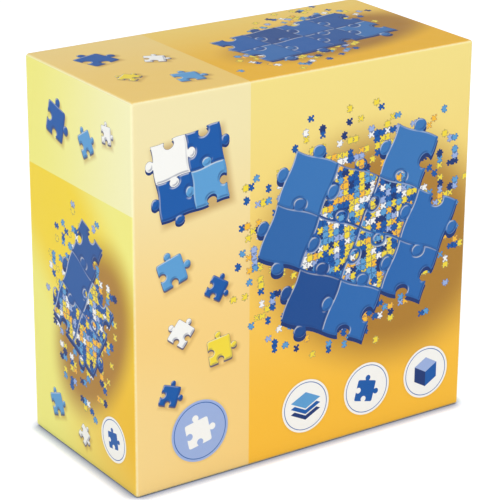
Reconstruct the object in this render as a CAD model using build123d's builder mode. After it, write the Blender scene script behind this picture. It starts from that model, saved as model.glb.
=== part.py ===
"""Jigsaw puzzle storage case: a two-piece rigid cardboard box that stands on its side wall.

The base opens towards the front (-Y) and holds a nested stack of sorting trays.
The lid slips over the base from the front and covers it to nearly its full depth.
Every tray has the outline of a jigsaw piece: a tab on one side, a notch in each flank
and, opposite the tab, a side with no wall. Neighbouring trays are turned half round.

All sizes are in millimetres. +X is right, -Y is the front, +Z is up.
The origin is on the floor, under the middle of the closed case.
"""

import os

from build123d import *

# Sorting trays
TRAY_COUNT = 8
TRAY_LENGTH = 140.0  # along the tab's direction, without the tab
TRAY_WIDTH = 196.0  # across the two notched flanks
TRAY_PITCH = 11.3  # rise from one nested tray to the next
TRAY_WALL = 1.6
TRAY_FLOOR = 1.6
LEDGE = 2.0  # thickness of the inner ledge that carries the tray above
RIM_GAP = 0.6  # between a rim and the shoulder of the tray above it
NEST_GAP = 0.35  # around a tray's lower part inside the tray below
TAB_REACH = 28.0
TAB_RADIUS = 30.0
NOTCH_DEPTH = 27.0
NOTCH_RADIUS = 29.0
OUTLINE_RADIUS = 12.0  # rounds every corner of the outline
MOUTH_MARGIN = 3.0  # from a rounded corner to the top of the open side's wall end
MOUTH_SLOPE = 9.0  # how far that wall end leans in from top to bottom
STEP_GAP = 1.0  # between the plain tab wall and the wall ends of the tray below it
FOOT_RADIUS = 0.8  # around the underside
RIM_RADIUS = 0.4  # around the rim

# Rigid box: grey board, paper wrap and corner stays
BOARD = 1.5
PAPER = 0.2
TURN_IN = 15.0  # width of the wrap that is folded over a rim to the inside
SLIT = 0.15  # between two walls of the folded board
STAY = 0.2  # thickness of a corner stay
STAY_LEG = 18.0  # reach of a corner stay on each wall
STAY_END = 2.0  # from a stay's ends to the board's edges

# Clearances of the box
TRAY_SIDE_GAP = 1.6  # from the trays to the base's turned-in wrap
SEAT_GAP = 0.1  # from the base's floor to the first tray
HEADROOM = 1.4  # from the last tray's rim to the lid
SLIP = 0.6  # from the lid's turned-in wrap to the base
RIM_REST_GAP = 0.4  # from the base's rim to the inside of the lid
LID_SHORT = 0.5  # by which the lid stops short of the back face

# Derived sizes of a tray
SHOULDER = TRAY_PITCH - LEDGE  # height of the narrower lower part
TRAY_HEIGHT = TRAY_PITCH + SHOULDER - RIM_GAP
LOWER_INSET = TRAY_WALL + NEST_GAP
CAVITY_INSET = LOWER_INSET + TRAY_WALL
TAB_TIP = TRAY_LENGTH / 2 + TAB_REACH
MOUTH_TOP = TRAY_WIDTH / 2 - OUTLINE_RADIUS - MOUTH_MARGIN
MOUTH_FOOT = MOUTH_TOP - MOUTH_SLOPE
STACK = (TRAY_COUNT - 1) * TRAY_PITCH + TRAY_HEIGHT

# Derived sizes of the box: the tabs point along X, the flanks face up and down
SKIN = BOARD + PAPER
LINED = SKIN + PAPER  # wall thickness where the wrap is turned in
BASE_X = 2 * (TAB_TIP + TRAY_SIDE_GAP + LINED)
BASE_Z = TRAY_WIDTH + 2 * (TRAY_SIDE_GAP + LINED)
CASE_X = BASE_X + 2 * (SLIP + LINED)
CASE_Z = BASE_Z + 2 * (SLIP + LINED)
CASE_Y = SEAT_GAP + STACK + HEADROOM + 2 * SKIN
BASE_DEPTH = CASE_Y - SKIN - RIM_REST_GAP
LID_DEPTH = CASE_Y - LID_SHORT

# Planes on the closed faces: local z points into the piece, local y is up
LID_PLANE = Plane((0, -CASE_Y / 2, CASE_Z / 2), x_dir=(-1, 0, 0), z_dir=(0, 1, 0))
BASE_PLANE = Plane((0, CASE_Y / 2, CASE_Z / 2), x_dir=(1, 0, 0), z_dir=(0, -1, 0))


def write(part, name):
    """Label a finished piece and write it to its own STEP file."""
    part.label = name
    export_step(part, f"parts/{name}.step")


def tray_outline(inset=0.0):
    """The jigsaw-piece outline, moved inwards by inset. The tab points along local +X."""
    notch_y = TRAY_WIDTH / 2 + NOTCH_RADIUS - NOTCH_DEPTH
    with BuildSketch() as outline:
        Rectangle(TRAY_LENGTH, TRAY_WIDTH)
        with Locations((TAB_TIP - TAB_RADIUS, 0)):
            Circle(TAB_RADIUS)
        with Locations((0, notch_y), (0, -notch_y)):
            Circle(NOTCH_RADIUS, mode=Mode.SUBTRACT)
        fillet(outline.vertices(), OUTLINE_RADIUS)
        if inset:
            offset(amount=-inset)
    return outline.sketch


def tab_wall_strip():
    """The part of the outline along the tab's side where the wall is plain, with no step."""
    with BuildSketch() as strip:
        add(tray_outline())
        with Locations((TRAY_LENGTH / 2 - OUTLINE_RADIUS, 0)):
            Rectangle(
                TAB_REACH + 2 * OUTLINE_RADIUS,
                2 * (MOUTH_FOOT - STEP_GAP),
                align=(Align.MIN, Align.CENTER),
                mode=Mode.INTERSECT,
            )
    return strip.sketch


def make_tray():
    """One moulded tray, floor down: stepped walls on three sides, inner ledge, open side."""
    with BuildPart() as tray:
        with BuildSketch():
            add(tray_outline(LOWER_INSET))
            add(tab_wall_strip())
        extrude(amount=SHOULDER)
        fillet(tray.faces().sort_by(Axis.Z)[0].edges(), FOOT_RADIUS)
        with BuildSketch(Plane.XY.offset(SHOULDER)):
            add(tray_outline())
        extrude(amount=TRAY_HEIGHT - SHOULDER)
        with BuildSketch(Plane.XY.offset(TRAY_FLOOR)):
            add(tray_outline(CAVITY_INSET))
        extrude(amount=TRAY_HEIGHT, mode=Mode.SUBTRACT)
        with BuildSketch(Plane.XY.offset(TRAY_PITCH)):
            add(tray_outline(TRAY_WALL))
        extrude(amount=TRAY_HEIGHT, mode=Mode.SUBTRACT)
        fillet(tray.faces().sort_by(Axis.Z)[-1].edges(), RIM_RADIUS)
        with BuildSketch(Plane.YZ.offset(-TRAY_LENGTH / 2)):
            with BuildLine():
                Polyline(
                    (-MOUTH_FOOT, TRAY_FLOOR),
                    (MOUTH_FOOT, TRAY_FLOOR),
                    (MOUTH_TOP, TRAY_HEIGHT),
                    (-MOUTH_TOP, TRAY_HEIGHT),
                    close=True,
                )
            make_face()
        extrude(amount=CAVITY_INSET, mode=Mode.SUBTRACT)
    return tray.part


def rounded_block(plane, size_x, size_z, depth, radius):
    """A block from the plane inwards, rounded along its closed face and its four long edges."""
    with BuildPart() as block:
        with BuildSketch(plane):
            Rectangle(size_x, size_z)
        extrude(amount=depth)
        open_face = block.faces().sort_by(Axis(plane.origin, plane.z_dir))[-1]
        closed = [edge for edge in block.edges() if edge not in open_face.edges()]
        fillet(closed, radius)
    return block.part


def corner_signs():
    """The four corners of a half, as signs along the plane's own x and y."""
    return [(x, y) for y in (1, -1) for x in (1, -1)]


def make_stay(plane, size_x, size_z, depth, signs):
    """A strip of strong paper round one corner of the board, let into its surface."""
    corner = (signs[0] * size_x / 2, signs[1] * size_z / 2)
    with BuildPart() as stay:
        with BuildSketch(plane.offset(STAY_END)):
            RectangleRounded(size_x, size_z, BOARD)
            RectangleRounded(size_x - 2 * STAY, size_z - 2 * STAY, BOARD - STAY, mode=Mode.SUBTRACT)
            with Locations(corner):
                Rectangle(2 * STAY_LEG, 2 * STAY_LEG, mode=Mode.INTERSECT)
        extrude(amount=depth - 2 * STAY_END)
    return stay.part


def make_board(plane, size_x, size_z, depth, stays):
    """The grey board, folded from one blank: a panel and four walls, slit at the corners."""
    with BuildPart() as board:
        add(rounded_block(plane, size_x, size_z, depth, BOARD))
        with BuildSketch(plane.offset(BOARD)):
            Rectangle(size_x - 2 * BOARD, size_z - 2 * BOARD)
        extrude(amount=depth, mode=Mode.SUBTRACT)
        with BuildSketch(plane.offset(BOARD)):
            for x, y in corner_signs():
                middle = (x * (size_x - BOARD) / 2, y * (size_z - BOARD) / 2)
                with Locations(Location(middle, x * y * 45)):
                    Rectangle(2 * BOARD, SLIT)
        extrude(amount=depth, mode=Mode.SUBTRACT)
        add(stays, mode=Mode.SUBTRACT)
    return board.part


def make_wrap(plane, size_x, size_z, depth):
    """The printed paper round the board, turned in over the rim."""
    board = rounded_block(
        plane.offset(PAPER), size_x - 2 * PAPER, size_z - 2 * PAPER, depth - 2 * PAPER, BOARD
    )
    with BuildPart() as wrap:
        add(rounded_block(plane, size_x, size_z, depth, SKIN))
        add(board, mode=Mode.SUBTRACT)
        with BuildSketch(plane.offset(depth - PAPER)):
            Rectangle(size_x - 2 * LINED, size_z - 2 * LINED)
        extrude(amount=PAPER, mode=Mode.SUBTRACT)
        with BuildSketch(plane.offset(depth - PAPER - TURN_IN)):
            Rectangle(size_x - 2 * SKIN, size_z - 2 * SKIN)
            Rectangle(size_x - 2 * LINED, size_z - 2 * LINED, mode=Mode.SUBTRACT)
        extrude(amount=TURN_IN)
    return wrap.part


def write_half(half, plane, size_x, size_z, depth):
    """Make and write the board, the wrap and the corner stays of the lid or the base."""
    inside = plane.offset(PAPER)
    board_x = size_x - 2 * PAPER
    board_z = size_z - 2 * PAPER
    board_depth = depth - 2 * PAPER
    stays = []
    for signs in corner_signs():
        stay = make_stay(inside, board_x, board_z, board_depth, signs)
        level = "top" if signs[1] > 0 else "bottom"
        side = "right" if signs[0] * plane.x_dir.X > 0 else "left"
        write(stay, f"{half}_corner_stay_{level}_{side}")
        stays.append(stay)
    write(make_board(inside, board_x, board_z, board_depth, stays), f"{half}_board")
    write(make_wrap(plane, size_x, size_z, depth), f"{half}_wrap")


def write_trays():
    """Place the nested trays on the base's floor, each turned half round from the last."""
    tray = make_tray()
    for index in range(TRAY_COUNT):
        seat = CASE_Y / 2 - SKIN - SEAT_GAP - index * TRAY_PITCH
        tab_side = 1 if index % 2 == 0 else -1
        plane = Plane((0, seat, CASE_Z / 2), x_dir=(tab_side, 0, 0), z_dir=(0, -1, 0))
        write(tray.moved(plane.location), f"tray_{index + 1}")


write_half("lid", LID_PLANE, CASE_X, CASE_Z, LID_DEPTH)
write_half("base", BASE_PLANE, BASE_X, BASE_Z, BASE_DEPTH)
write_trays()
print("case", CASE_X, CASE_Y, CASE_Z, "tray height", TRAY_HEIGHT, "stack", STACK)
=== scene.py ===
"""Looks of a jigsaw puzzle storage case: a printed rigid box that holds nested sorting trays.

Lengths are in metres and the axes are the part's: +X right, -Y front, +Z up.
Inside the print's shaders, positions on a face are in millimetres.
"""

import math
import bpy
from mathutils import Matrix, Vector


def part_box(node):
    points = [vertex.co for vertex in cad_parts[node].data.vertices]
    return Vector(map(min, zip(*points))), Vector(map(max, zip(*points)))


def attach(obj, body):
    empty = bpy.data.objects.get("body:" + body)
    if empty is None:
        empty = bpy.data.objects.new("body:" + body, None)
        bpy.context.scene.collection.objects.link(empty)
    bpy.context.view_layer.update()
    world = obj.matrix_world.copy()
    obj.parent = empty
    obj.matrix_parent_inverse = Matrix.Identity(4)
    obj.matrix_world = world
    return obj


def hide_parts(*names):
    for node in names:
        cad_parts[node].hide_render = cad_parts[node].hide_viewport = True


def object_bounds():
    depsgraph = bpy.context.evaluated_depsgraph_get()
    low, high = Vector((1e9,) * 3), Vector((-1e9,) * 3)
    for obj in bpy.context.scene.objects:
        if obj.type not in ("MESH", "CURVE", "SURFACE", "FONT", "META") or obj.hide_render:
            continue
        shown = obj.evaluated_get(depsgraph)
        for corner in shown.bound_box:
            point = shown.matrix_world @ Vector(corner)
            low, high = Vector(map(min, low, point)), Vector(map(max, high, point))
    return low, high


bl_info = {
    "name": "Jigsaw puzzle storage case",
    "version": (1, 0, 0),
    "blender": (4, 5, 0),
    "location": "View3D > Sidebar > Puzzle case",
    "description": "Finishes the printed box, its grey board and the sorting trays, and sets the stage",
    "category": "Object",
}

import bpy
import numpy as np
from mathutils import Matrix, Vector

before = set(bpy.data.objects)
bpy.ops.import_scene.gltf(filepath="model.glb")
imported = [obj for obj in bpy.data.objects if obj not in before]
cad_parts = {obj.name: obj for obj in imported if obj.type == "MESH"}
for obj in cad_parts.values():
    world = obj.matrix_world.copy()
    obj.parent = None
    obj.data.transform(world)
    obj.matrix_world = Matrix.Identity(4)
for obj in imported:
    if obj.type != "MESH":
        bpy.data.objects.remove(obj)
CAD_LOW, CAD_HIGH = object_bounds()
CASE_Y = CAD_HIGH.y - CAD_LOW.y
CASE_Z = CAD_HIGH.z - CAD_LOW.z
MM = 0.001
WHITE = (1.0, 1.0, 1.0)
BLACK = (0.0, 0.0, 0.0)


# Sizes and colours that a user may change


def length(name, description, default):
    """A length property in metres."""
    return bpy.props.FloatProperty(
        name=name, description=description, default=default, min=0.0, precision=5,
        subtype="DISTANCE", unit="LENGTH",
    )


def angle(name, description, degrees):
    """An angle property, written in degrees."""
    return bpy.props.FloatProperty(
        name=name, description=description, default=math.radians(degrees), subtype="ANGLE", unit="ROTATION"
    )


def power(name, description, default):
    """A lamp's power in watts."""
    return bpy.props.FloatProperty(
        name=name, description=description, default=default, min=0.0, unit="POWER"
    )


def ink(name, description, red, green, blue):
    """A colour property, written as 8-bit screen values."""
    shade = (red / 255, green / 255, blue / 255)
    return bpy.props.FloatVectorProperty(
        name=name, description=description, default=shade, size=3, min=0.0, max=1.0, subtype="COLOR_GAMMA"
    )


def share(name, description, default):
    """A plain number between 0 and 1."""
    return bpy.props.FloatProperty(
        name=name, description=description, default=default, min=0.0, max=1.0, subtype="FACTOR"
    )


class PaperSizes(bpy.types.PropertyGroup):
    """Sizes of the printed paper round a box half."""

    thickness: length("Thickness", "Thickness of the paper", 0.2 * MM)
    wall: length("Wall", "Thickness of a wall where the paper is turned in", 1.9 * MM)
    edge_radius: length("Edge radius", "Rounding of the outer edges", 1.7 * MM)
    rim_radius: length("Rim radius", "Rounding of the fold over the rim", 0.35 * MM)
    fold_radius: length("Fold radius", "Rounding of the corners inside", 0.3 * MM)
    turn_in: length("Turn-in", "Width of the paper turned to the inside", 15 * MM)
    cut_drift: length("Cut drift", "How far the turned-in edge strays from a straight line", 0.5 * MM)
    softness: length("Softness", "How far worn edges and the walls' waviness dip inwards", 0.09 * MM)


class PrintInks(bpy.types.PropertyGroup):
    """Colours of the printed paper."""

    cream: ink("Cream", "Top of the front's band", 245, 232, 178)
    peach: ink("Peach", "Foot of the front's band", 251, 213, 132)
    straw: ink("Straw", "Top of the front's wide panel", 246, 226, 138)
    gold: ink("Gold", "Foot of the front's wide panel", 253, 193, 54)
    ivory: ink("Ivory", "Upper zone of the side faces, towards the front", 250, 247, 196)
    lemon: ink("Lemon", "Pale zones of the side faces", 246, 241, 132)
    sun: ink("Sun", "Golden zone of the side faces", 249, 219, 52)
    amber: ink("Amber", "Top face's wide panel and deep zones", 242, 185, 30)
    sand: ink("Sand", "Top face's band", 244, 207, 114)
    shade: ink("Shade", "Printed soft shadows", 170, 120, 40)
    navy: ink("Navy", "Deepest blue", 8, 48, 112)
    blue: ink("Blue", "Main blue", 4, 88, 168)
    sky: ink("Sky", "Light blue", 92, 160, 214)
    mist: ink("Mist", "Pale blue of the seal", 158, 180, 226)
    white: ink("White", "White motifs", 250, 250, 246)
    yellow: ink("Yellow", "Yellow puzzle pieces", 247, 222, 62)
    # fold_highlight is a painted highlight for the round edges, not a colour of the paper
    fold_highlight: ink("Fold", "Light on the folded edges", 255, 250, 206)


class PrintLayout(bpy.types.PropertyGroup):
    """Sizes of the print's motifs."""

    band: length("Band", "Width of the pale band on the front and the top", 68 * MM)
    side_split: length("Side split", "Height of the line between a side face's two zones", 150.7 * MM)
    piece: length("Piece", "Side of a large printed puzzle piece", 28.8 * MM)
    chip: length("Chip", "Side of a tiny printed puzzle piece", 3.4 * MM)
    badge: length("Badge", "Radius of a white badge", 17 * MM)


class TrayLooks(bpy.types.PropertyGroup):
    """Finish of the moulded trays."""

    colour: ink("Colour", "Blue of the plastic", 6, 92, 176)
    roughness: share("Roughness", "Roughness of the plastic", 0.34)
    grain: length("Grain", "Size of the moulded texture", 0.35 * MM)


class BoardLooks(bpy.types.PropertyGroup):
    """Finish of the grey board and of the stays."""

    colour: ink("Colour", "Middle colour of the grey board", 176, 168, 154)
    fleck: ink("Fleck", "Dark fibres in the board", 118, 108, 94)
    kraft: ink("Kraft", "Gummed paper of the stays", 196, 164, 122)
    fibre: length("Fibre", "Length of a fibre", 1.4 * MM)


class StageLooks(bpy.types.PropertyGroup):
    """Camera, floor and lamps."""

    lens: bpy.props.FloatProperty(
        name="Lens", description="Focal length on a 36 mm wide sensor", default=156.67, min=1.0,
        unit="CAMERA",
    )
    eye: bpy.props.FloatVectorProperty(
        name="Eye", description="Where the camera stands", default=(-0.6083, -0.89474, 0.50865), size=3,
        subtype="TRANSLATION", unit="LENGTH",
    )
    heading: angle("Heading", "Turn about the vertical", -34.184)
    tilt: angle("Tilt", "Turn up from looking straight down", 69.126)
    roll: angle("Roll", "Turn about the line of sight", 0.3623)
    floor: length("Floor", "Side of the square floor", 3.0)
    daylight: bpy.props.FloatProperty(
        name="Daylight", description="Strength of the even light from all round", default=0.66, min=0.0
    )
    key: power("Key", "Power of the large lamp at the front left", 12.2)
    fill: power("Fill", "Power of the lamp at the right", 4.6)
    floor_tone: ink("Floor tone", "Colour of the floor", 239, 239, 240)
    # The floor is darkened towards this tone beside the box: a painted contact shade
    contact_shade_tone: ink("Contact tone", "Colour of the floor right beside the box", 116, 130, 168)
    contact: length("Contact", "How far the shade beside the box reaches", 7.5 * MM)
    floor_glow: ink("Floor glow", "Colour of light added to the floor in the camera's view", 234, 241, 255)
    floor_lift: share("Floor lift", "Strength of that light", 0.54)


# Shader maths


def screen_to_linear(shade):
    """Linear colour of a screen colour, by the usual power law with a straight foot."""
    linear = [c / 12.92 if c <= 0.04045 else ((c + 0.055) / 1.055) ** 2.4 for c in shade]
    return (*linear, 1.0)


class Field:
    """A value that changes over a surface. Arithmetic on it adds Math nodes to its finish."""

    def __init__(self, finish, socket):
        self.finish = finish
        self.socket = socket

    def math(self, operation, *others):
        return self.finish.node("ShaderNodeMath", {"operation": operation}, dict(enumerate((self, *others))))

    def __add__(self, other):
        return self.math("ADD", other)

    __radd__ = __add__

    def __sub__(self, other):
        return self.math("SUBTRACT", other)

    def __rsub__(self, other):
        return self.finish.node("ShaderNodeMath", {"operation": "SUBTRACT"}, {0: other, 1: self})

    def __mul__(self, other):
        return self.math("MULTIPLY", other)

    __rmul__ = __mul__

    def __truediv__(self, other):
        return self.math("DIVIDE", other)

    def __neg__(self):
        return self * -1.0

    def __abs__(self):
        return self.math("ABSOLUTE")

    def __gt__(self, other):
        return self.math("GREATER_THAN", other)

    def __lt__(self, other):
        return self.math("LESS_THAN", other)

    def floor(self):
        return self.math("FLOOR")

    def root(self):
        return self.math("SQRT")

    def sine(self):
        return self.math("SINE")

    def least(self, other):
        return self.math("MINIMUM", other)

    def most(self, other):
        return self.math("MAXIMUM", other)

    def soft_least(self, other, softness):
        """The lesser value, with a round turn from one to the other."""
        return self.math("SMOOTH_MIN", other, softness)

    def soft_most(self, other, softness):
        return self.math("SMOOTH_MAX", other, softness)

    def same(self, other):
        """1 where two values that are 0 or 1 agree, and 0 where they don't."""
        return 1 - abs(self - other)

    def step(self, low, high):
        """A soft step from 0 at low to 1 at high."""
        settings = {"interpolation_type": "SMOOTHSTEP"}
        values = {"Value": self, "From Min": low, "From Max": high}
        return self.finish.node("ShaderNodeMapRange", settings, values)


class Place:
    """A position on a printed face, in millimetres."""

    def __init__(self, x, y):
        self.x = x
        self.y = y

    def seen_from(self, x, y, turn=0.0):
        """The position as measured from (x, y), with axes turned anticlockwise by turn degrees."""
        across = self.x - x
        along = self.y - y
        if not turn:
            return Place(across, along)
        cosine = math.cos(math.radians(turn))
        sine = math.sin(math.radians(turn))
        return Place(across * cosine + along * sine, along * cosine - across * sine)

    def reach(self):
        """Distance from the origin."""
        return (self.x * self.x + self.y * self.y).root()


class Recipe:
    """Nodes under construction, of a material or of a group."""

    def __init__(self, tree):
        self.tree = tree

    def node(self, kind, settings=None, values=None, output=0):
        """Adds a node: its settings first, then the values or links of its sockets."""
        made = self.tree.nodes.new(kind)
        for key, value in (settings or {}).items():
            if key == "stops":
                self.set_stops(made.color_ramp, value)
            else:
                setattr(made, key, value)
        for key, value in (values or {}).items():
            self.feed(made.inputs[key], value)
        return Field(self, made.outputs[output]) if made.outputs else None

    def set_stops(self, ramp, stops):
        """Gives a colour ramp its stops, as (position, screen colour) pairs."""
        while len(ramp.elements) < len(stops):
            ramp.elements.new(1.0)
        for element, (position, shade) in zip(ramp.elements, stops):
            element.position = position
            element.color = screen_to_linear(shade)

    def feed(self, socket, value):
        """Links a field to a socket or sets the socket's own value."""
        if isinstance(value, Field):
            self.tree.links.new(value.socket, socket)
        else:
            socket.default_value = value

    def use(self, motif, *values):
        """Adds a motif's group and gives back its outputs."""
        made = self.node("ShaderNodeGroup", {"node_tree": motif.tree}, dict(enumerate(values)))
        return [Field(self, socket) for socket in made.socket.node.outputs]

    def mix(self, first, second, amount, mode="MIX"):
        """Mixes two colours, each a field or a screen colour."""
        colours = [c if isinstance(c, Field) else screen_to_linear(c) for c in (first, second)]
        settings = {"data_type": "RGBA", "blend_type": mode}
        values = {"Factor": amount, 6: colours[0], 7: colours[1]}
        return self.node("ShaderNodeMix", settings, values, output=2)

    def haze(self, colour, amount):
        """Lays a thin white haze over a colour."""
        return self.mix(colour, WHITE, amount, "SCREEN")

    def dice(self, a, b, seed):
        """A number from 0 to 1 that is fixed for each pair (a, b)."""
        spot = self.node("ShaderNodeCombineXYZ", None, {0: a, 1: b, 2: seed})
        return self.node("ShaderNodeTexWhiteNoise", {"noise_dimensions": "3D"}, {"Vector": spot})


class Motif(Recipe):
    """A node group that works out numbers from numbers."""

    def __init__(self, name, inputs, outputs):
        super().__init__(bpy.data.node_groups.new(name, "ShaderNodeTree"))
        for way, names in (("INPUT", inputs), ("OUTPUT", outputs)):
            for socket in names:
                self.tree.interface.new_socket(name=socket, in_out=way, socket_type="NodeSocketFloat")
        entry = self.node("NodeGroupInput")
        self.inputs = [Field(self, socket) for socket in entry.socket.node.outputs[:len(inputs)]]

    def give(self, *fields):
        """Feeds the group's outputs."""
        self.node("NodeGroupOutput", None, dict(enumerate(fields)))


class Finish(Recipe):
    """A material under construction."""

    def __init__(self, name):
        self.material = bpy.data.materials.new(name)
        self.material.use_nodes = True
        super().__init__(self.material.node_tree)
        self.shader = self.tree.nodes["Principled BSDF"]
        self.position = None

    def surface(self, **inputs):
        """Sets the Principled shader's sockets. Underscores stand for spaces."""
        for key, value in inputs.items():
            self.feed(self.shader.inputs[key.replace("_", " ")], value)

    def coordinates(self):
        """Object coordinates as a vector."""
        if self.position is None:
            self.position = self.node("ShaderNodeTexCoord", output="Object")
        return self.position

    def axes(self):
        """Object coordinates as three numbers."""
        split = self.node("ShaderNodeSeparateXYZ", None, {0: self.coordinates()})
        outputs = split.socket.node.outputs
        return [Field(self, outputs[i]) for i in range(3)]

    def noise(self, size, detail=2.0, roughness=0.5, stretch=(1, 1, 1)):
        """Noise whose features are about size metres wide."""
        place = self.coordinates()
        if stretch != (1, 1, 1):
            place = self.node("ShaderNodeMapping", None, {"Vector": place, "Scale": stretch})
        values = {"Vector": place, "Scale": 1 / size, "Detail": detail, "Roughness": roughness}
        return self.node("ShaderNodeTexNoise", None, values)

    def bump(self, height, distance, strength=1.0):
        """Feeds a height to the shader's normal. distance is the depth in metres."""
        values = {"Height": height, "Distance": distance, "Strength": strength}
        self.feed(self.shader.inputs["Normal"], self.node("ShaderNodeBump", None, values))


# Motifs of the print

# A sheet of pieces, in sides of a piece
KNOB_OFFSET = 0.105  # from a piece's edge to the middle of its knob
KNOB_RADIUS = 0.12
KNOB_WIDENING = 1.2  # a knob is an oval, wider along the edge
KNOB_NECK = 0.08  # rounding where a knob joins its piece
WAVE = 0.02  # how far the edges wander
ROW_SEED = 5  # added to the seed for the cuts between rows

# A loose piece, in its sides
PIECE_CORNER = 0.14  # rounding of its corners
PIECE_KNOB_OFFSET = 0.115
PIECE_KNOB_RADIUS = 0.135
PIECE_NECK = 0.06

# Printing, in millimetres. A pair is where a step begins and where it is full
SOFT = 0.12  # softness of a printed edge
CUT_STEP = (0.24, 0.06)  # dark line along a cut
CUT_STRENGTH = 0.85
SLOPE_STEP = (0.06, 0.8)  # light and shade on a round edge
SLOPE_STRENGTH = 0.55

LOOSE_SHADOW = (1.0, -1.8)  # where a loose piece's shadow lies
LOOSE_SHADOW_STEP = (2.2, -1.5)
LOOSE_SHADOW_STRENGTH = 0.55
LOOSE_THICKNESS = 0.8
LOOSE_SIDE_STRENGTH = 0.8
LOOSE_LIGHT = (-0.4, 0.5)  # a little way towards the light
LOOSE_BEVEL = 1.0

# A half-done puzzle, in millimetres. Its shadow's place and the reaches are in its own half axes
PATCH_SHADOW = (0.2, -0.24)
PATCH_SHADOW_STEP = (1.3, 0.75)
PATCH_SHADOW_STRENGTH = 0.95
PATCH_RAGGEDNESS = 0.35  # how uneven its outline is
PATCH_THICKNESS = 2.2
PATCH_LIGHT = (-0.5, 0.65)
PATCH_BEVEL = 1.1
PATCH_SHEEN = 0.3
HEART_REACH = 0.62
HEART_RAGGEDNESS = 0.5
HEART_MARGIN = (0.75, 0.9)
CHIP_TURN = 27  # degrees between the tiny pieces and the large ones
CHIP_SEED = 11
CHIP_SCATTER = 1.1  # how thinly the tiny pieces lie further out
CHIP_REACH = 1.22
CHIP_CUT_STEP = (0.30, 0.05)
CHIP_CUT_STRENGTH = 0.75

# Four pieces joined in a square, in millimetres
EMBLEM_SHADOW = (1.6, -2.6)
EMBLEM_SHADOW_STEP = (4.0, -2.0)
EMBLEM_SHADOW_STRENGTH = 0.6
EMBLEM_CORNER = 4
EMBLEM_THICKNESS = 1.3
EMBLEM_LIGHT = (-0.45, 0.6)
EMBLEM_BEVEL = 1.2
EMBLEM_SEED = 41.0

# Badges, in millimetres, and icons, whose numbers are shares of their own size
BADGE_SHADOW_STEP = (1.8, -0.6)  # past the badge's edge
BADGE_SHADOW_STRENGTH = 0.22
RING_INSET = 1.5
RING_WIDTH = 0.44
LOZENGE_RISE = 0.34  # from one to the next
LOZENGE_RIM = 0.07
LOZENGE_SCALE = 0.45  # makes a lozenge's own measure a distance
CUBE_WIDTH = 0.87
CUBE_SLANT = 0.577

# Edges of the paper and their painted highlight, in millimetres
FOLD_STEP = (1.5, 0.3)  # from a face, where the light of a fold begins and is full
SEAM_DEPTH = 0.85  # of a side flap's cut edge, inside the upper and lower edges
SEAM_SHADE_DEPTH = 1.05
SEAM_WIDTH = 0.1

# Which throw of a piece's dice settles what
COLOUR_DICE, PART_DICE, PALE_DICE, HEART_DICE, DARK_DICE, SCATTER_DICE = 1, 2, 3, 4, 6, 7

MOTIFS = {}


def jigsaw_motif():
    """Works out a sheet of interlocking pieces, in sides of a piece.

    Square cells share their edges. A dice gives each edge's knob to one of its two cells, and a point
    belongs to that cell where the half plane behind the edge, joined softly to the knob's circle,
    holds it. A slow sine bends the edges.
    """
    motif = Motif("jigsaw", ("x", "y", "seed"), ("column", "row", "border"))
    flat_x, flat_y, seed = motif.inputs
    x = flat_x + WAVE * (flat_y * (2 * math.pi)).sine()
    y = flat_y + WAVE * (flat_x * (2 * math.pi)).sine()
    near_x = (x + 0.5).floor()
    near_y = (y + 0.5).floor()
    back_x, gap_x = nearest_cut(motif, near_x, y.floor(), x - near_x, y - y.floor() - 0.5, seed)
    back_y, gap_y = nearest_cut(motif, x.floor(), near_y, y - near_y, x - x.floor() - 0.5, seed + ROW_SEED)
    motif.give(near_x - back_x, near_y - back_y, gap_x.least(gap_y))
    return motif


def nearest_cut(motif, a, b, across, along, seed):
    """1 if the place is in the lower cell at the nearest edge, and the distance to the cut."""
    outwards = motif.dice(a, b, seed) > 0.5
    past = across * (outwards * 2 - 1)
    knob = Place(past - KNOB_OFFSET, along / KNOB_WIDENING).reach() - KNOB_RADIUS
    gap = past.soft_least(knob, KNOB_NECK)
    return (gap < 0).same(outwards), abs(gap)


class Jigsaw:
    """A sheet of interlocking pieces at a place."""

    def __init__(self, finish, place, side, seed):
        self.finish = finish
        self.seed = seed
        values = (place.x / side, place.y / side, seed)
        self.column, self.row, border = finish.use(motif_named("jigsaw"), *values)
        self.border = border * side

    def luck(self, dice):
        """A number from 0 to 1 for each piece."""
        return self.finish.dice(self.column, self.row, self.seed + dice)

    def reach(self, columns, rows):
        """Distance of a piece's middle from the origin, where 1 is on the oval of these half axes."""
        return Place((self.column + 0.5) / columns, (self.row + 0.5) / rows).reach()


def inside(distance):
    """1 inside a shape and 0 outside, from its signed distance in millimetres."""
    return distance.step(SOFT, -SOFT)


def beyond(distance, line):
    """1 past a printed line, which is given in metres."""
    return distance.step(line / MM - SOFT, line / MM + SOFT)


def glow(place, x, y, far, near):
    """1 round (x, y), fading to 0 from the distance near to the distance far."""
    return place.seen_from(x, y).reach().step(far, near)


def diagonal_zone(place, low, high, blur):
    """1 in a slanted stripe that falls from the upper left to the lower right."""
    slant = place.y + place.x * 0.97
    return slant.step(low - blur, low + blur) * slant.step(high + blur, high - blur)


def piece_motif():
    """Works out the signed distance of one puzzle piece, in its sides.

    A square with soft corners, joined softly to a knob on the right and one on top, less a knob's
    circle on the left and one at the foot.
    """
    motif = Motif("piece", ("x", "y"), ("distance",))
    place = Place(*motif.inputs)
    shape = abs(place.x).soft_most(abs(place.y), PIECE_CORNER) - 0.5
    for x, y in ((0.5 + PIECE_KNOB_OFFSET, 0), (0, 0.5 + PIECE_KNOB_OFFSET)):
        shape = shape.soft_least(place.seen_from(x, y).reach() - PIECE_KNOB_RADIUS, PIECE_NECK)
    for x, y in ((PIECE_KNOB_OFFSET - 0.5, 0), (0, PIECE_KNOB_OFFSET - 0.5)):
        shape = shape.soft_most(PIECE_KNOB_RADIUS - place.seen_from(x, y).reach(), PIECE_NECK)
    motif.give(shape)
    return motif


def motif_named(name):
    """A motif, made when it is first asked for."""
    if name not in MOTIFS:
        MOTIFS[name] = {"jigsaw": jigsaw_motif, "piece": piece_motif}[name]()
    return MOTIFS[name]


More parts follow.
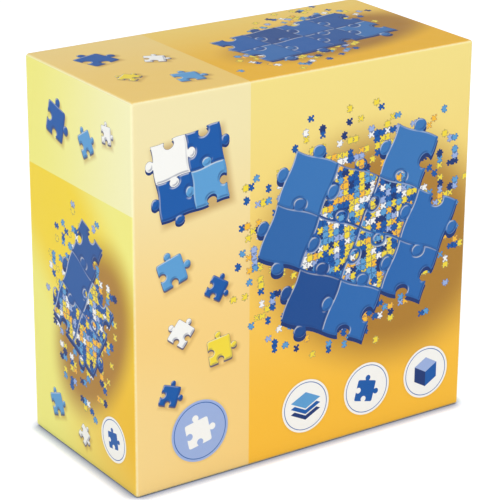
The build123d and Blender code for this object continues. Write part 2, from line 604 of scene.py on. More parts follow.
def single_piece(place, side):
    """Signed distance of one puzzle piece in millimetres."""
    return place.x.finish.use(motif_named("piece"), place.x / side, place.y / side)[0] * side


def in_patch(sheet, columns, rows):
    """1 on the pieces that a half-done puzzle has."""
    return sheet.reach(columns, rows) + sheet.luck(PART_DICE) * PATCH_RAGGEDNESS < 1.0


def in_square(sheet):
    """1 on the four pieces round the origin."""
    return abs(sheet.column + 0.5).most(abs(sheet.row + 0.5)) < 1.0


class FacePrint:
    """The print of one face. Each motif is printed over the picture that is already there.

    Positions and sizes are in millimetres, and turns are in degrees.
    """

    def __init__(self, finish, place, layout, inks):
        self.finish = finish
        self.place = place
        self.layout = layout
        self.inks = inks
        self.picture = None

    def over(self, colour, mask):
        """Prints a colour where the mask is 1."""
        self.picture = self.finish.mix(self.picture, colour, mask)

    def relief(self, tone, border, lit_border, bevel):
        """A tone with a piece's round edge, lit from the upper left.

        The border is the distance to the cut, here and a little way towards the light. Within the
        bevel their difference is the slope: pale where it faces the light and dark elsewhere.
        """
        mix, inks = self.finish.mix, self.inks
        slope = lit_border.least(bevel) - border.least(bevel)
        start, full = SLOPE_STEP
        tone = mix(tone, inks.white, slope.step(start, full) * SLOPE_STRENGTH)
        tone = mix(tone, inks.navy, slope.step(-start, -full) * SLOPE_STRENGTH)
        return mix(tone, inks.navy, border.step(*CUT_STEP) * CUT_STRENGTH)

    def loose_piece(self, x, y, side, turn, colour):
        """Prints one piece with a soft shadow, its thickness and its round edge."""

        def distance(dx, dy):
            return single_piece(self.place.seen_from(x + dx, y + dy, turn), side)

        shadow = distance(*LOOSE_SHADOW).step(*LOOSE_SHADOW_STEP)
        self.over(self.inks.shade, shadow * LOOSE_SHADOW_STRENGTH)
        self.over(self.inks.navy, inside(distance(0, -LOOSE_THICKNESS)) * LOOSE_SIDE_STRENGTH)
        shape = distance(0, 0)
        tone = self.relief(colour, -shape, -distance(*LOOSE_LIGHT), LOOSE_BEVEL)
        self.over(tone, inside(shape))

    def patch(self, x, y, turn, columns, rows, side, seed):
        """Prints a half-done puzzle: large blue pieces round a heart of tiny coloured ones.

        Its outline is an oval round (x, y) whose half axes are columns and rows pieces long.
        """
        mix, inks = self.finish.mix, self.inks
        chip = self.layout.chip / MM
        wide = columns * side
        tall = rows * side

        def sheet_at(dx, dy):
            return Jigsaw(self.finish, self.place.seen_from(x + dx, y + dy, turn), side, seed)

        below = self.place.seen_from(x + wide * PATCH_SHADOW[0], y + tall * PATCH_SHADOW[1], turn)
        shadow = Place(below.x / wide, below.y / tall).reach().step(*PATCH_SHADOW_STEP)
        self.over(inks.shade, shadow * PATCH_SHADOW_STRENGTH)
        chips = Jigsaw(self.finish, self.place.seen_from(x, y, turn + CHIP_TURN), chip, seed + CHIP_SEED)
        tiny = self.chip_colours(chips)
        scatter = chips.luck(SCATTER_DICE) * CHIP_SCATTER + chips.reach(wide / chip, tall / chip)
        self.over(tiny, scatter < CHIP_REACH)
        self.over(inks.navy, in_patch(sheet_at(0, -PATCH_THICKNESS), columns, rows))
        sheet = sheet_at(0, 0)
        spot = self.place.seen_from(x, y, turn)
        sheen = spot.x / wide * PATCH_SHEEN + spot.y / tall * PATCH_SHEEN + 0.5
        tone = mix(inks.blue, inks.sky, sheet.luck(PALE_DICE).step(0.5, 1.4) * 0.45 + sheen * 0.1)
        tone = mix(tone, inks.navy, sheet.luck(DARK_DICE).step(0.45, 1.1) * 0.6)
        ragged = sheet.luck(HEART_DICE) * HEART_RAGGEDNESS
        heart = sheet.reach(columns * HEART_REACH, rows * HEART_REACH) + ragged < 1.0
        tone = mix(tone, tiny, heart * sheet.border.step(*HEART_MARGIN))
        tone = self.relief(tone, sheet.border, sheet_at(*PATCH_LIGHT).border, PATCH_BEVEL)
        self.over(tone, in_patch(sheet, columns, rows))

    def chip_colours(self, chips):
        """Colours of tiny interlocking pieces: mostly blue and yellow, some white."""
        inks = self.inks
        stops = [
            (0.0, inks.yellow), (0.27, inks.blue), (0.46, inks.sky), (0.64, inks.white),
            (0.74, inks.gold), (0.83, inks.navy), (0.91, inks.mist),
        ]
        colour = self.finish.node("ShaderNodeValToRGB", {"stops": stops}, {0: chips.luck(COLOUR_DICE)})
        colour.socket.node.color_ramp.interpolation = "CONSTANT"
        return self.finish.mix(colour, inks.navy, chips.border.step(*CHIP_CUT_STEP) * CHIP_CUT_STRENGTH)

    def emblem(self, x, y, size, turn):
        """Prints four pieces joined in a square, each in its own colour, with a soft shadow."""
        mix, inks = self.finish.mix, self.inks

        def sheet_at(dx, dy):
            return Jigsaw(self.finish, self.place.seen_from(x + dx, y + dy, turn), size / 2, EMBLEM_SEED)

        below = self.place.seen_from(x + EMBLEM_SHADOW[0], y + EMBLEM_SHADOW[1], turn)
        shadow = abs(below.x).soft_most(abs(below.y), EMBLEM_CORNER) - size / 2
        self.over(inks.shade, shadow.step(*EMBLEM_SHADOW_STEP) * EMBLEM_SHADOW_STRENGTH)
        self.over(inks.navy, in_square(sheet_at(0, -EMBLEM_THICKNESS)))
        sheet = sheet_at(0, 0)
        lower = mix(inks.blue, inks.sky, sheet.column + 1)
        upper = mix(inks.white, inks.blue, sheet.column + 1)
        tone = mix(lower, upper, sheet.row + 1)
        tone = self.relief(tone, sheet.border, sheet_at(*EMBLEM_LIGHT).border, EMBLEM_BEVEL)
        self.over(tone, in_square(sheet))

    def disc(self, x, y, radius, colour):
        """Prints a round badge with a faint shadow and a thin ring just inside its edge."""
        reach = self.place.seen_from(x, y).reach()
        start, full = BADGE_SHADOW_STEP
        self.over(self.inks.shade, reach.step(radius + start, radius + full) * BADGE_SHADOW_STRENGTH)
        self.over(colour, inside(reach - radius))
        self.over(self.inks.blue, inside(abs(reach - (radius - RING_INSET)) - RING_WIDTH / 2))

    def piece_icon(self, x, y, side, turn, colour):
        """Prints one plain piece."""
        self.over(colour, inside(single_piece(self.place.seen_from(x, y, turn), side)))

    def stack_icon(self, x, y, size):
        """Prints three flat lozenges one above the other."""
        for level, colour in enumerate((self.inks.navy, self.inks.blue, self.inks.sky)):
            spot = self.place.seen_from(x, y + (level - 1) * size * LOZENGE_RISE)
            lozenge = ((abs(spot.x) + abs(spot.y) * 2) - size) * LOZENGE_SCALE
            self.over(self.inks.white, inside(lozenge - size * LOZENGE_RIM))
            self.over(colour, inside(lozenge))

    def cube_icon(self, x, y, size):
        """Prints a box in three tones: a lozenge lid over two slanted walls."""
        spot = self.place.seen_from(x, y)
        slant = abs(spot.x) * CUBE_SLANT
        low = slant - spot.y - size
        high = spot.y + slant - size
        shell = inside((abs(spot.x) - size * CUBE_WIDTH).most(low).most(high))
        self.over(self.finish.mix(self.inks.blue, self.inks.navy, spot.x < 0), shell)
        self.over(self.inks.mist, shell * inside(slant - spot.y))

    def seam(self):
        """A side flap's cut edge: a pale line just inside the upper and lower edges, with its shade."""
        middle = CASE_Z / MM / 2
        depth = middle - abs(self.place.y - middle)
        # A painted shade line beside the cut edge, for the shadow of the flap's step
        self.over(self.inks.shade, inside(abs(depth - SEAM_SHADE_DEPTH) - SEAM_WIDTH / 2) * 0.3)
        self.over(self.inks.white, inside(abs(depth - SEAM_DEPTH) - SEAM_WIDTH / 2) * 0.55)

    def painted_edge_highlight(self, axes):
        """Painted highlight on the paper's round, folded edges: near two faces at once, more of it, varied
        by a fine noise.
        """
        start, full = FOLD_STEP
        close = []
        for axis, low, high in zip(axes, CAD_LOW, CAD_HIGH):
            half = (high - low) / 2 / MM
            close.append((abs(axis - (low + high) / 2) / MM).step(half - start, half - full))
        edges = (close[0] * close[1]).most(close[1] * close[2]).most(close[0] * close[2])
        scuff_and_sheen = self.finish.noise(1.6 * MM, 3.0, 0.6).step(0.35, 0.75)
        self.over(self.inks.fold_highlight, edges * (0.5 + scuff_and_sheen * 0.25))


# Faces of the lid


def front_picture(face):
    """The front: a pale band at the left and a wide panel that deepens downwards."""
    mix, inks, place = face.finish.mix, face.inks, face.place
    badge = face.layout.badge / MM
    band = mix(inks.cream, inks.peach, place.y.step(200.0, 75.0))
    band = mix(band, inks.cream, glow(place, 0, 30, 62.0, 8.0) * 0.2)
    panel = mix(inks.straw, inks.gold, place.y.step(215.0, 15.0))
    face.picture = mix(band, panel, beyond(place.x, face.layout.band))
    face.patch(137, 118, turn=-24, columns=2.5, rows=2.0, side=face.layout.piece / MM, seed=3.0)
    face.emblem(33, 168, size=40, turn=9)
    face.loose_piece(22, 118, 15, 18, inks.sky)
    face.loose_piece(48, 104, 11, -32, inks.blue)
    face.loose_piece(27, 84, 12, 52, inks.white)
    face.loose_piece(50, 70, 14, 8, inks.yellow)
    face.loose_piece(20, 52, 11, -20, inks.blue)
    face.disc(38, 28, badge, inks.mist)
    face.piece_icon(37, 27, side=14, turn=12, colour=inks.white)
    for x in (104, 144, 184):
        face.disc(x, 25, badge * 0.88, inks.white)
    face.stack_icon(104, 25, size=9.5)
    face.piece_icon(143, 24, side=12, turn=-14, colour=inks.blue)
    face.cube_icon(184, 25, size=8.6)


def side_ground(face):
    """Background of a side face: pale above, below it lemon with a slanted golden zone."""
    mix, inks, place = face.finish.mix, face.inks, face.place
    below = mix(inks.lemon, inks.sun, diagonal_zone(place, 108, 208, 22))
    below = mix(below, inks.amber, glow(place, 104, 30, 95.0, 10.0) * 0.75)
    above = mix(inks.lemon, inks.ivory, place.x.step(0.0, 120.0))
    face.picture = mix(below, above, beyond(place.y, face.layout.side_split))


def left_picture(face):
    """The left face: a tall patch of pieces low down and a few loose ones above."""
    side_ground(face)
    face.patch(53, 84, turn=62, columns=2.2, rows=1.35, side=23, seed=23.0)
    face.loose_piece(30, 180, 17, -14, face.inks.blue)
    face.loose_piece(60, 176, 12, 30, face.inks.sky)
    face.loose_piece(80, 186, 9, 4, face.inks.white)
    face.loose_piece(24, 22, 12, 20, face.inks.sky)
    face.loose_piece(52, 15, 9, -35, face.inks.white)
    face.disc(82, 24, face.layout.badge / MM * 0.72, face.inks.white)
    face.piece_icon(81.4, 23.4, side=9, turn=10, colour=face.inks.blue)
    face.seam()


def right_picture(face):
    """The right face: a seal above a patch of pieces."""
    side_ground(face)
    face.patch(50, 66, turn=38, columns=1.5, rows=1.9, side=24, seed=61.0)
    face.loose_piece(26, 132, 12, 24, face.inks.blue)
    face.loose_piece(80, 128, 9, -18, face.inks.white)
    face.disc(52, 180, face.layout.badge / MM, face.inks.mist)
    face.piece_icon(51, 179, side=14, turn=-10, colour=face.inks.white)
    face.seam()


def top_picture(face):
    """The top: a sandy band at the left and an amber panel with a long patch of pieces."""
    mix, inks = face.finish.mix, face.inks
    back = face.place.y.step(20.0, 125.0)
    panel = mix(inks.amber, inks.straw, back * 0.7)
    band = mix(inks.sand, inks.cream, back * 0.35)
    face.picture = mix(band, panel, beyond(face.place.x, face.layout.band))
    face.patch(138, 54, turn=9, columns=2.7, rows=1.25, side=23, seed=83.0)
    face.loose_piece(24, 74, 17, 16, inks.blue)
    face.loose_piece(50, 60, 11, -26, inks.white)
    face.loose_piece(22, 38, 10, 40, inks.yellow)
    face.loose_piece(47, 24, 14, -8, inks.sky)


def foot_picture(face):
    """The underside: golden yellow with the pieces' outlines in a deeper tone."""
    sheet = Jigsaw(face.finish, face.place, face.layout.piece / MM, 97.0)
    outlines = sheet.border.step(0.5, 0.25) * 0.6
    face.picture = face.finish.mix(face.inks.sun, face.inks.amber, outlines)


FACES = ("front", "left", "right", "top", "foot")
PAINTERS = dict(zip(FACES, (front_picture, left_picture, right_picture, top_picture, foot_picture)))


def face_place(name, axes):
    """Millimetre coordinates on a face as seen from outside, from its lower left corner."""
    right, back, up = ((axis - low) / MM for axis, low in zip(axes, CAD_LOW))
    places = {
        "front": Place(right, up),
        "left": Place(CASE_Y / MM - back, up),
        "right": Place(back, up),
        "top": Place(right, back),
        "foot": Place(right, back),
    }
    return places[name]


def lid_finishes(layout, inks):
    """One finish for each face of the lid."""
    finishes = []
    for name, painter in PAINTERS.items():
        finish = Finish(f"lid_print_{name}")
        axes = finish.axes()
        face = FacePrint(finish, face_place(name, axes), layout, inks)
        painter(face)
        # Adds a painted highlight along the folded edges
        face.painted_edge_highlight(axes)
        satin_paper(finish, face.picture)
        finishes.append(finish.material)
    return finishes


PAPER_GRAIN = 0.22 * MM
BOARD_WAVES = 38 * MM
GLOSS_PATCHES = 9 * MM
PAPER_ROUGHNESS = 0.46
PAPER_RELIEF = 0.22 * MM


def satin_paper(finish, picture):
    """The paper's own surface under any print: fine grain, slow waves of the board and a satin coat."""
    grain = finish.noise(PAPER_GRAIN, 2.0, 0.6)
    waves = finish.noise(BOARD_WAVES, 1.0, 0.4)
    patchy = finish.noise(GLOSS_PATCHES, 2.0, 0.5)
    finish.surface(
        Base_Color=finish.haze(picture, grain.step(0.55, 0.95) * 0.04),
        Roughness=PAPER_ROUGHNESS + (patchy - 0.5) * 0.10, Coat_Weight=0.04, Coat_Roughness=0.32,
        Specular_IOR_Level=0.22,
    )
    finish.bump(grain * 0.02 + waves, PAPER_RELIEF, 0.8)


def base_finish(layout, inks):
    """The base's paper: golden yellow, with puzzle outlines and a few paler pieces on the back."""
    finish = Finish("base_print")
    axes = finish.axes()
    place = Place(axes[0] / MM, (axes[2] - CAD_LOW.z) / MM)
    sheet = Jigsaw(finish, place.seen_from(0, CASE_Z / MM / 2, 12), layout.piece / MM, 131.0)
    back = (axes[1] / MM).step(CAD_HIGH.y / MM - 1.2, CAD_HIGH.y / MM - 0.4)
    ground = finish.mix(inks.sun, inks.amber, 0.25)
    pieces = finish.mix(ground, inks.lemon, sheet.luck(COLOUR_DICE) * 0.5)
    pieces = finish.mix(pieces, inks.amber, sheet.border.step(0.45, 0.2) * 0.8)
    picture = finish.mix(ground, pieces, back)
    satin_paper(finish, picture)
    return finish.material


# Shapes

SIDE_STEPS = 34  # round the box, along a side and round a corner
CORNER_STEPS = 6
PANEL_STEPS = 26  # along the section, in its order
EDGE_STEPS = 8
WALL_STEPS = 26
RIM_STEPS = 4
TURN_IN_STEPS = 8
GLUED_RIM_STEPS = 2
GLUED_PANEL_STEPS = 6
GLUED_STEPS = TURN_IN_STEPS + GLUED_RIM_STEPS + WALL_STEPS + EDGE_STEPS  # back to the closed panel
MIDDLE = 0.999  # share of the half width where the rings end and a fan closes the middle
MITRE = 4 * MM  # how far a corner of the turned-in paper is cut back
RIM_WEAR = 0.6  # wear at the rim, against the wear at the closed face
WAVE_SHARE = 0.35
DENT_SHARE = 0.9


def mesh_object(name, points, faces, materials, zones=None, smooth=True):
    """An object from points and faces, with its place in its mesh."""
    mesh = bpy.data.meshes.new(name)
    mesh.from_pydata(points, [], faces)
    for material in materials:
        mesh.materials.append(material)
    if zones is not None:
        mesh.polygons.foreach_set("material_index", np.asarray(zones, np.int32))
    mesh.polygons.foreach_set("use_smooth", np.full(len(mesh.polygons), smooth))
    mesh.update()
    made = bpy.data.objects.new(name, mesh)
    bpy.context.scene.collection.objects.link(made)
    return made


def ring_terms(side_steps, corner_steps):
    """Terms of a rectangle with round corners, for points around it.

    A point is (a * flat_x + cos t * radius, b * flat_z + sin t * radius). On a corner a and b are signs
    and t turns by a quarter; on a side t stands still and a or b runs from one sign to the other.
    """
    signs_a, signs_b, angles = [], [], []
    corners = ((1, 1), (-1, 1), (-1, -1), (1, -1))
    for index, (a, b) in enumerate(corners):
        next_a, next_b = corners[(index + 1) % 4]
        turn = np.linspace(0, 1, corner_steps + 1)
        side = ease_ends(np.linspace(0, 1, side_steps + 1))[1:-1]
        signs_a += [np.full(turn.size, a), a + (next_a - a) * side]
        signs_b += [np.full(turn.size, b), b + (next_b - b) * side]
        angles += [(index + turn) * math.pi / 2, np.full(side.size, (index + 1) * math.pi / 2)]
    return np.concatenate(signs_a), np.concatenate(signs_b), np.concatenate(angles)


def ease_ends(t, amount=0.55):
    """Moves evenly spaced values from 0 to 1 closer together at both ends."""
    return t + amount * (-np.sin(2 * np.pi * t)) / (2 * np.pi)


def arc(centre, radius, start, end, steps):
    """Points of an arc in a plane, as an array of pairs. Angles are in degrees."""
    t = np.radians(np.linspace(start, end, steps + 1))
    return np.stack([centre[0] + radius * np.cos(t), centre[1] + radius * np.sin(t)], 1)


def run(first, last, steps):
    """Points of a straight run, closer together at its ends."""
    t = ease_ends(np.linspace(0, 1, steps + 1))[:, None]
    return np.array(first) * (1 - t) + np.array(last) * t


def wrap_section(sizes, half, depth):
    """The paper's section as pairs (inset from the wall's outside, depth from the closed face).

    It goes from the middle of the closed panel out round its edge, along the wall, over the rim and
    down the turned-in part, and comes back on the glued side at the paper's thickness.
    """
    edge, rim, paper, wall = sizes.edge_radius, sizes.rim_radius, sizes.thickness, sizes.wall
    middle = half * MIDDLE
    foot = depth - rim - sizes.turn_in
    shown = [
        run((middle, 0), (edge, 0), PANEL_STEPS),
        arc((edge, edge), edge, 270, 180, EDGE_STEPS)[1:],
        run((0, edge), (0, depth - rim), WALL_STEPS)[1:],
        arc((rim, depth - rim), rim, 180, 90, RIM_STEPS)[1:],
        arc((wall - rim, depth - rim), rim, 90, 0, RIM_STEPS),
        run((wall, depth - rim), (wall, foot), TURN_IN_STEPS)[1:],
    ]
    glued = [
        run((wall - paper, foot), (wall - paper, depth - paper), TURN_IN_STEPS),
        run((wall - paper, depth - paper), (paper, depth - paper), GLUED_RIM_STEPS)[1:],
        run((paper, depth - paper), (paper, edge), WALL_STEPS)[1:],
        arc((edge, edge), edge - paper, 180, 270, EDGE_STEPS)[1:],
        run((edge, paper), (middle, paper), GLUED_PANEL_STEPS)[1:],
    ]
    return np.concatenate(shown), np.concatenate(glued)


def worn(sizes, x, z, along, depth):
    """How far the paper dips inwards: slow waves on the walls and small dents along the edges.

    The waves are products of sines. The dents are quicker sines, cut off below, that fade away from
    the closed face and from the rim. The numbers in the sines are radians per metre.
    """
    waves = 0.5 + 0.5 * np.sin(31 * x + 17 * along + 2) * np.cos(23 * z - 13 * along)
    dents = np.maximum(0, np.sin(410 * x + 60 * z) * np.sin(380 * z + 90 * x + 1.3) - 0.35)
    fade = 2 * sizes.edge_radius
    edges = np.exp(-along / fade) + RIM_WEAR * np.exp(-(depth - along) / fade)
    return sizes.softness * (WAVE_SHARE * waves * (1 - edges.clip(0, 1)) + DENT_SHARE * dents * edges)


def make_wrap(name, sizes, low, high, inwards, materials, zone_of):
    """The printed paper round one half of the box, as a closed skin with thickness.

    Each point of the section carries a ring: a rectangle with round corners, smaller by the inset.
    The turned-in paper's edge strays from straight by a sum of sines, in radians per metre, and its
    corners are cut back. inwards is 1 where the closed face is at the front, and -1 at the back.
    """
    half_x, depth, half_z = (high.x - low.x) / 2, high.y - low.y, (high.z - low.z) / 2
    closed_y = low.y if inwards > 0 else high.y
    shown, glued = wrap_section(sizes, half_x, depth)
    section = np.concatenate([shown, glued])
    inset, along = section[:, 0:1], section[:, 1:2]
    a, b, t = ring_terms(SIDE_STEPS, CORNER_STEPS)
    shrink = np.minimum(inset, half_x)
    radius = np.minimum(np.maximum(sizes.edge_radius - inset, sizes.fold_radius), (half_x - shrink) / 2)
    x = a * (half_x - shrink - radius) + np.cos(t) * radius
    z = b * ((half_z - shrink * half_z / half_x) - radius) + np.sin(t) * radius
    turned_in = (np.arange(len(section)) > 0)[:, None] & (inset >= sizes.wall - sizes.thickness * 1.01)
    turned_in &= along > depth - sizes.turn_in - 2 * sizes.rim_radius
    drift = np.sin(57 * x + 3 * closed_y) * np.cos(49 * z) + 0.6 * np.sin(190 * (x + z))
    free = np.clip((depth - sizes.rim_radius - along) / sizes.turn_in, 0, 1)
    mitre = np.minimum(np.abs(np.abs(x) - np.abs(z)), MITRE) - MITRE
    along = along - np.where(turned_in, (drift * sizes.cut_drift + mitre) * free, 0)
    dip = np.where(turned_in, 0, worn(sizes, x, z, along, depth))
    closed_share = np.exp(-along / (3 * sizes.edge_radius))
    x = x * (1 - (1 - closed_share) * dip / half_x)
    z = z * (1 - (1 - closed_share) * dip / half_z)
    y = closed_y + inwards * (along + closed_share * dip)
    rings = np.stack([x, y, z + (high.z + low.z) / 2], 2)
    points, faces, zones = close_rings(rings, zone_of, len(shown), t)
    return mesh_object(name, points, faces, materials, zones)


def lid_zones(row, angle, shown):
    """Which of the lid's finishes each face of a ring has: the front's, or its own side's."""
    quarter = np.floor(np.degrees(angle) / 90 + 0.5).astype(int) % 4
    side = np.array([FACES.index(name) for name in ("right", "top", "left", "foot")])[quarter]
    front = (row < PANEL_STEPS + EDGE_STEPS // 2) | (row >= shown + GLUED_STEPS)
    return np.where(front, FACES.index("front"), side)


def one_zone(row, angle, shown):
    """The same finish everywhere."""
    return np.zeros(np.broadcast_shapes(row.shape, angle.shape), int)


def close_rings(rings, zone_of, shown, angles):
    """Joins the rings into a skin, closes both ends with a fan and turns the faces outwards."""
    count, around, _ = rings.shape
    points = np.concatenate([rings.reshape(-1, 3), rings[:1].mean(1), rings[-1:].mean(1)])
    i, j = np.meshgrid(np.arange(count - 1), np.arange(around), indexing="ij")
    k = (j + 1) % around
    quads = np.stack([i * around + j, i * around + k, (i + 1) * around + k, (i + 1) * around + j], 2)
    j = np.arange(around)
    k = (j + 1) % around
    start = np.stack([np.full(around, count * around), k, j], 1)
    last = (count - 1) * around
    end = np.stack([np.full(around, count * around + 1), last + j, last + k], 1)
    step = (angles[k] - angles[j]) % (2 * np.pi)
    middle = angles[j] + step / 2
    zones = zone_of(np.arange(count - 1)[:, None], middle[None, :], shown)
    faces = [*quads.reshape(-1, 4).tolist(), *start.tolist(), *end.tolist()]
    zones = np.concatenate([zones.reshape(-1), np.full(around, zones[0, 0]), np.full(around, zones[-1, 0])])
    corner = points[quads.reshape(-1, 4)]
    volume = np.einsum("ij,ij->i", corner[:, 0], np.cross(corner[:, 1], corner[:, 2])).sum()
    volume += np.einsum("ij,ij->i", corner[:, 0], np.cross(corner[:, 2], corner[:, 3])).sum()
    if volume < 0:
        faces = [face[::-1] for face in faces]
    return points.tolist(), faces, zones


# Finishes of the other materials


def board_finish(looks):
    """Grey board: felted fibres with dark flecks."""
    finish = Finish("grey_board")
    fibres = finish.noise(looks.fibre, 4.0, 0.65, (1.0, 1.6, 0.6))
    flecks = finish.noise(looks.fibre * 0.5, 2.0, 0.5, (0.5, 1.0, 1.8))
    cloud = finish.noise(looks.fibre * 9, 2.0, 0.5)
    colour = finish.mix(looks.colour, looks.fleck, fibres.step(0.5, 0.85) * 0.5)
    colour = finish.mix(colour, looks.fleck, flecks.step(0.66, 0.74) * 0.8)
    colour = finish.haze(colour, cloud.step(0.35, 0.75) * 0.10)
    finish.surface(Base_Color=colour, Roughness=0.86 + (fibres - 0.5) * 0.1, Specular_IOR_Level=0.2)
    finish.bump(fibres, 0.06 * MM, 0.7)
    return finish.material


def stay_finish(looks):
    """Gummed kraft paper: fine lines along the strip."""
    finish = Finish("stay_paper")
    lines = finish.noise(0.8 * MM, 3.0, 0.6, (1.0, 0.1, 1.0))
    colour = finish.mix(looks.kraft, looks.fleck, lines.step(0.45, 0.9) * 0.4)
    finish.surface(Base_Color=colour, Roughness=0.7 + (lines - 0.5) * 0.1)
    finish.bump(lines, 0.02 * MM, 0.5)
    return finish.material


def tray_finish(looks):
    """Moulded plastic: fine even grain and faint flow marks."""
    finish = Finish("tray_plastic")
    grain = finish.noise(looks.grain, 2.0, 0.5)
    flow = finish.noise(30 * MM, 3.0, 0.6, (1.0, 2.5, 0.4))
    colour = finish.haze(looks.colour, flow.step(0.4, 0.8) * 0.05)
    roughness = looks.roughness + (flow - 0.5) * 0.10
    finish.surface(Base_Color=colour, Roughness=roughness, Specular_IOR_Level=0.5)
    finish.bump(grain, 0.012 * MM, 0.5)
    return finish.material


def dress(node, material):
    """Gives a CAD node its finish."""
    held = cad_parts[node]
    held.data.materials.clear()
    held.data.materials.append(material)


def node_names(word):
    """Names of the CAD nodes that contain a word."""
    return [name for name in sorted(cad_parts) if word in name]


# Operators

SENSOR_WIDTH = 36.0
KEY_PLACE = (-1.22, -1.0, 1.15)
KEY_SIZE = 1.1
FILL_PLACE = (1.3, -0.7, 0.7)
FILL_SIZE = 1.0


class PUZZLECASE_OT_lid_paper(bpy.types.Operator):
    """Makes the lid's printed paper"""

    bl_idname = "puzzlecase.lid_paper"
    bl_label = "Lid paper"

    def execute(self, context):
        case = context.scene.puzzle_case
        low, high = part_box("lid_wrap")
        finishes = lid_finishes(case.layout, case.inks)
        made = make_wrap("lid_print", case.paper, low, high, 1, finishes, lid_zones)
        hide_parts("lid_wrap")
        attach(made, "lid")
        return {"FINISHED"}


class PUZZLECASE_OT_base_paper(bpy.types.Operator):
    """Makes the base's printed paper"""

    bl_idname = "puzzlecase.base_paper"
    bl_label = "Base paper"

    def execute(self, context):
        case = context.scene.puzzle_case
        low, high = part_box("base_wrap")
        finishes = [base_finish(case.layout, case.inks)]
        made = make_wrap("base_print", case.paper, low, high, -1, finishes, one_zone)
        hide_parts("base_wrap")
        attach(made, "base")
        return {"FINISHED"}


class PUZZLECASE_OT_boards(bpy.types.Operator):
    """Finishes the grey board and the corner stays of both halves"""

    bl_idname = "puzzlecase.boards"
    bl_label = "Boards and stays"

    def execute(self, context):
        looks = context.scene.puzzle_case.board
        board = board_finish(looks)
        stay = stay_finish(looks)
        for name in node_names("_board"):
            dress(name, board)
        for name in node_names("_stay_"):
            dress(name, stay)
        return {"FINISHED"}


class PUZZLECASE_OT_trays(bpy.types.Operator):
    """Finishes the sorting trays"""

    bl_idname = "puzzlecase.trays"
    bl_label = "Sorting trays"

    def execute(self, context):
        plastic = tray_finish(context.scene.puzzle_case.tray)
        for name in node_names("tray_"):
            dress(name, plastic)
        return {"FINISHED"}


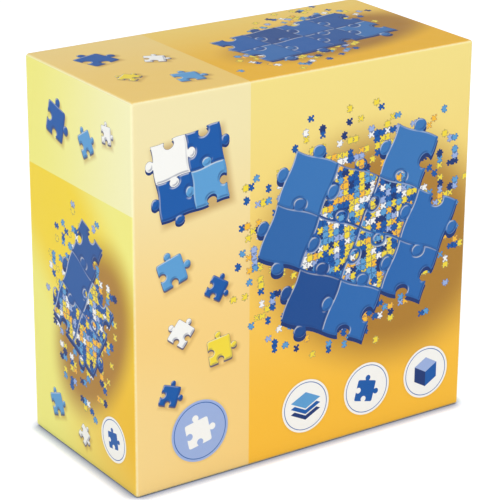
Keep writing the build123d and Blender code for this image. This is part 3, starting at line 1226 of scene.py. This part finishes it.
class PUZZLECASE_OT_stage(bpy.types.Operator):
    """Sets the floor, the lamps and the camera"""

    bl_idname = "puzzlecase.stage"
    bl_label = "Stage"

    def execute(self, context):
        looks = context.scene.puzzle_case.stage
        scene = context.scene
        scene.view_settings.view_transform = "Standard"
        self.camera(scene, looks)
        self.floor(looks)
        self.daylight(scene, looks)
        self.lamp(scene, "key_lamp", looks.key, KEY_SIZE, Vector(KEY_PLACE))
        self.lamp(scene, "fill_lamp", looks.fill, FILL_SIZE, Vector(FILL_PLACE))
        return {"FINISHED"}

    def camera(self, scene, looks):
        data = bpy.data.cameras.new("camera")
        data.sensor_width = SENSOR_WIDTH
        data.lens = looks.lens
        camera = bpy.data.objects.new("camera", data)
        scene.collection.objects.link(camera)
        turn = Matrix.Rotation(looks.heading, 4, "Z") @ Matrix.Rotation(looks.tilt, 4, "X")
        turn = turn @ Matrix.Rotation(looks.roll, 4, "Z")
        camera.matrix_world = Matrix.Translation(looks.eye) @ turn
        scene.camera = camera

    def floor(self, looks):
        half = looks.floor / 2
        finish = Finish("floor")
        path = finish.node("ShaderNodeLightPath", output="Is Camera Ray")
        glossy = Field(finish, path.socket.node.outputs["Is Glossy Ray"])
        through = Field(finish, path.socket.node.outputs["Is Transmission Ray"])
        seen = path.most(glossy).most(through)
        # Ambient occlusion darkens the floor's colour and its added light beside the box: a painted contact
        # shade
        values = {"Distance": looks.contact}
        open_sky = finish.node("ShaderNodeAmbientOcclusion", {"samples": 16}, values, output="AO")
        light = open_sky * open_sky
        finish.surface(
            Base_Color=finish.mix(looks.contact_shade_tone, looks.floor_tone, light), Roughness=0.9,
            Specular_IOR_Level=0.1, Emission_Color=finish.mix(BLACK, looks.floor_glow, seen * light),
            Emission_Strength=looks.floor_lift,
        )
        corners = [(-half, -half, 0), (half, -half, 0), (half, half, 0), (-half, half, 0)]
        mesh_object("floor", corners, [(0, 1, 2, 3)], [finish.material], smooth=False)

    def daylight(self, scene, looks):
        scene.world = bpy.data.worlds.new("daylight")
        scene.world.use_nodes = True
        recipe = Recipe(scene.world.node_tree)
        sky = recipe.tree.nodes["Background"]
        seen = recipe.node("ShaderNodeLightPath", output="Is Camera Ray")
        strength = recipe.node("ShaderNodeMix", {"data_type": "FLOAT"}, {0: seen, 2: looks.daylight, 3: 1.0})
        recipe.feed(sky.inputs["Strength"], strength)
        recipe.feed(sky.inputs["Color"], (*WHITE, 1.0))

    def lamp(self, scene, name, power, size, place):
        """A square lamp that faces the case's middle."""
        data = bpy.data.lights.new(name, "AREA")
        data.energy = power
        data.size = size
        made = bpy.data.objects.new(name, data)
        scene.collection.objects.link(made)
        turn = (Vector((0, 0, CASE_Z / 2)) - place).to_track_quat("-Z", "Y").to_matrix().to_4x4()
        made.matrix_world = Matrix.Translation(place) @ turn


class PuzzleCase(bpy.types.PropertyGroup):
    """Everything that a user may change."""

    paper: bpy.props.PointerProperty(type=PaperSizes, name="Paper", description="Sizes of the paper")
    inks: bpy.props.PointerProperty(type=PrintInks, name="Inks", description="Colours of the print")
    layout: bpy.props.PointerProperty(type=PrintLayout, name="Layout", description="Sizes of the motifs")
    tray: bpy.props.PointerProperty(type=TrayLooks, name="Trays", description="Finish of the trays")
    board: bpy.props.PointerProperty(type=BoardLooks, name="Board", description="Finish of the board")
    stage: bpy.props.PointerProperty(type=StageLooks, name="Stage", description="Camera, floor and lamps")


OPERATORS = (
    PUZZLECASE_OT_stage,
    PUZZLECASE_OT_lid_paper,
    PUZZLECASE_OT_base_paper,
    PUZZLECASE_OT_boards,
    PUZZLECASE_OT_trays,
)


class PUZZLECASE_PT_panel(bpy.types.Panel):
    """Lists the steps that finish the case"""

    bl_idname = "PUZZLECASE_PT_panel"
    bl_label = "Puzzle case"
    bl_space_type = "VIEW_3D"
    bl_region_type = "UI"
    bl_category = "Puzzle case"

    def draw(self, context):
        for operator in OPERATORS:
            self.layout.operator(operator.bl_idname)


CLASSES = (
    PaperSizes, PrintInks, PrintLayout, TrayLooks, BoardLooks, StageLooks, PuzzleCase, *OPERATORS,
    PUZZLECASE_PT_panel,
)


def register():
    for kind in CLASSES:
        bpy.utils.register_class(kind)
    bpy.types.Scene.puzzle_case = bpy.props.PointerProperty(type=PuzzleCase)


def unregister():
    del bpy.types.Scene.puzzle_case
    for kind in reversed(CLASSES):
        bpy.utils.unregister_class(kind)


def main():
    register()
    for operator in OPERATORS:
        group, name = operator.bl_idname.split(".")
        getattr(getattr(bpy.ops, group), name)()


if __name__ == "__main__":
    main()
